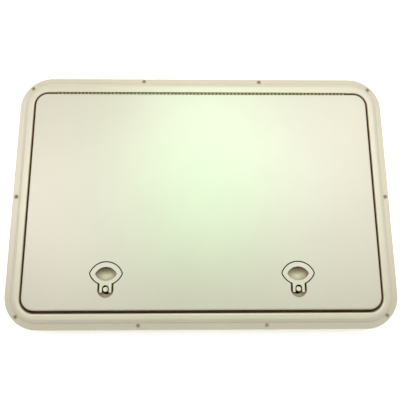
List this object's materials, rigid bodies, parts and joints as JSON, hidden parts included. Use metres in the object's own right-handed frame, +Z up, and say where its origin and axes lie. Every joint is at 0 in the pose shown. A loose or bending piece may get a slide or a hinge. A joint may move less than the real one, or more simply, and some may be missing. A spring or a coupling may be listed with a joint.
{
  "type": "deck hatch",
  "caption": "Flush rectangular deck hatch: a moulded frame with a screw flange and gutter, a lid on a full-width piano hinge, and folding lift rings over turning pawls.",
  "frame": {"origin": "centre of the screw pattern, on the underside of the flange, which lies on the deck", "axes": "+X along the hinge to the right as seen from the latch side, +Y from the latch side to the hinge side, +Z up out of the deck"},
  "size_m": [0.62, 0.42, 0.0455],
  "materials": {
    "frame_plastic": "satin",
    "lid_plastic": "satin",
    "ring_plastic": "satin",
    "gasket_rubber": "matte",
    "black_nylon": "matte",
    "hinge_steel": "brushed",
    "pin_steel": "polished",
    "screw_steel": "polished",
    "spindle_metal": "satin",
    "washer_steel": "polished",
    "pawl_steel": "brushed",
    "nut_steel": "polished"
  },
  "bodies": {
    "frame": {"frame": "frame_plastic", "hinge_frame_leaf": "hinge_steel", "hinge_pin": "pin_steel", "hinge_frame_screws": "screw_steel"},
    "lid": {"lid": "lid_plastic", "lid_gasket": "gasket_rubber", "hinge_lid_leaf": "hinge_steel", "hinge_lid_screws": "screw_steel", "left_well_washer": "black_nylon", "left_thrust_washer": "washer_steel", "right_well_washer": "black_nylon", "right_thrust_washer": "washer_steel"},
    "left_lift_ring": {"left_ring": "ring_plastic", "left_pivot_pins": "pin_steel"},
    "left_latch": {"left_spindle": "spindle_metal", "left_o_ring": "gasket_rubber", "left_spring_washer": "washer_steel", "left_pawl": "pawl_steel", "left_pawl_washer": "washer_steel", "left_pawl_nut": "nut_steel"},
    "right_lift_ring": {"right_ring": "ring_plastic", "right_pivot_pins": "pin_steel"},
    "right_latch": {"right_spindle": "spindle_metal", "right_o_ring": "gasket_rubber", "right_spring_washer": "washer_steel", "right_pawl": "pawl_steel", "right_pawl_washer": "washer_steel", "right_pawl_nut": "nut_steel"}
  },
  "joints": [
    {"name": "lid_hinge", "type": "hinge", "parent": "frame", "child": "lid", "pos_m": [0, 0.18055, 0.0057], "axis": [-1, 0, 0], "range_deg": [0, 95]},
    {"name": "left_ring_lift", "type": "hinge", "parent": "lid", "child": "left_lift_ring", "pos_m": [-0.1515, -0.1481, 0.004], "axis": [1, 0, 0], "range_deg": [0, 90]},
    {"name": "left_latch_turn", "type": "hinge", "parent": "lid", "child": "left_latch", "pos_m": [-0.1515, -0.1481, -0.022], "axis": [0, 0, -1], "range_deg": [0, 90]},
    {"name": "right_ring_lift", "type": "hinge", "parent": "lid", "child": "right_lift_ring", "pos_m": [0.1515, -0.1481, 0.004], "axis": [1, 0, 0], "range_deg": [0, 90]},
    {"name": "right_latch_turn", "type": "hinge", "parent": "lid", "child": "right_latch", "pos_m": [0.1515, -0.1481, -0.022], "axis": [0, 0, 1], "range_deg": [0, 90]}
  ]
}
